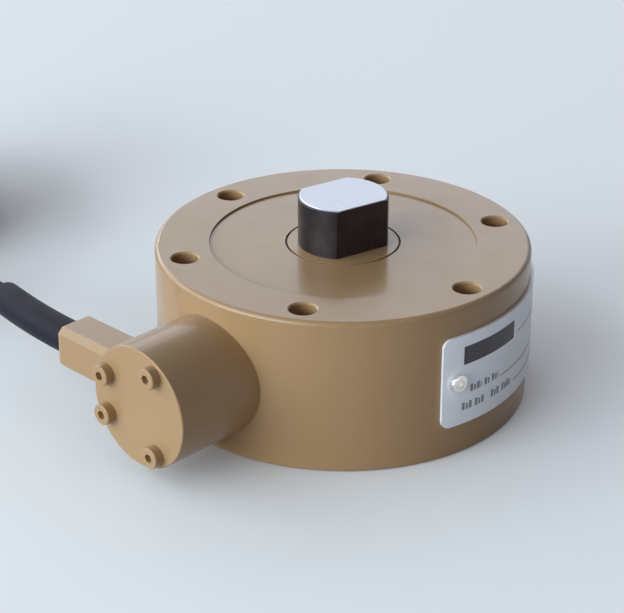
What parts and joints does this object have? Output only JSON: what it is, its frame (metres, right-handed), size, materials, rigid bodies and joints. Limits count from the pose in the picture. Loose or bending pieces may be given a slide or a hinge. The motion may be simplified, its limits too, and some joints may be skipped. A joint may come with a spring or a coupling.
{
  "type": "strain gauge load cell",
  "caption": "Low round load cell with a central load button, ring of through holes, side terminal housing, nameplate and cable.",
  "frame": {"origin": "centre of the mounting circle, on the face that the cell stands on", "axes": "+Z along the loading axis, towards the load button; -Y towards the terminal housing; -X along the cable's exit"},
  "size_m": [0.2733, 0.1262, 0.055],
  "materials": {
    "body_paint": "glossy golden tan enamel on steel",
    "painted_screw": "steel screws painted over with the housing",
    "button_steel": "ground flat top, dark oxide sides",
    "bare_steel": "turned stainless steel",
    "screw_steel": "plain stainless steel",
    "bright_screw": "bright nickel plate",
    "plate_aluminium": "satin anodised plate with plain printed blocks",
    "brass": "turned brass",
    "black_rubber": "moulded black rubber",
    "sleeve_rubber": "smooth black rubber sleeve",
    "cable_jacket": "smooth black cable jacket",
    "wire_insulation": "coloured core insulation",
    "board_laminate": "green circuit laminate",
    "resistor_ceramic": "black chip resistors",
    "gauge_foil": "amber polyimide foil gauges"
  },
  "bodies": {
    "root": {"bore_plug": "black_rubber", "bottom_cover": "bare_steel", "bottom_cover_screws": "screw_steel", "bottom_gasket": "black_rubber", "bridge_board": "board_laminate", "bridge_board_screws": "screw_steel", "bridge_board_spacers": "brass", "bridge_resistors": "resistor_ceramic", "bridge_wires": "wire_insulation", "cable": "cable_jacket", "cable_coil": "cable_jacket", "cable_cores": "wire_insulation", "cable_leads": "wire_insulation", "cable_sleeve": "sleeve_rubber", "cover_gasket": "black_rubber", "cover_screw_1": "painted_screw", "cover_screw_2": "painted_screw", "cover_screw_3": "painted_screw", "cover_screw_4": "painted_screw", "dust_seal": "black_rubber", "element_body": "body_paint", "gauge_ring_board": "board_laminate", "gland_body": "body_paint", "gland_grommet": "black_rubber", "gland_nut": "brass", "gland_washer": "brass", "housing_o_ring": "black_rubber", "housing_screws": "screw_steel", "load_button": "button_steel", "nameplate": "plate_aluminium", "nameplate_screw_left": "bright_screw", "nameplate_screw_right": "bright_screw", "strain_gauge_1": "gauge_foil", "strain_gauge_2": "gauge_foil", "strain_gauge_3": "gauge_foil", "strain_gauge_4": "gauge_foil", "strain_gauge_5": "gauge_foil", "strain_gauge_6": "gauge_foil", "strain_gauge_7": "gauge_foil", "strain_gauge_8": "gauge_foil", "terminal_board": "board_laminate", "terminal_board_screws": "screw_steel", "terminal_board_spacers": "brass", "terminal_cover": "body_paint", "terminal_housing": "body_paint", "terminal_pins": "brass", "top_cover": "body_paint"}
  },
  "joints": []
}
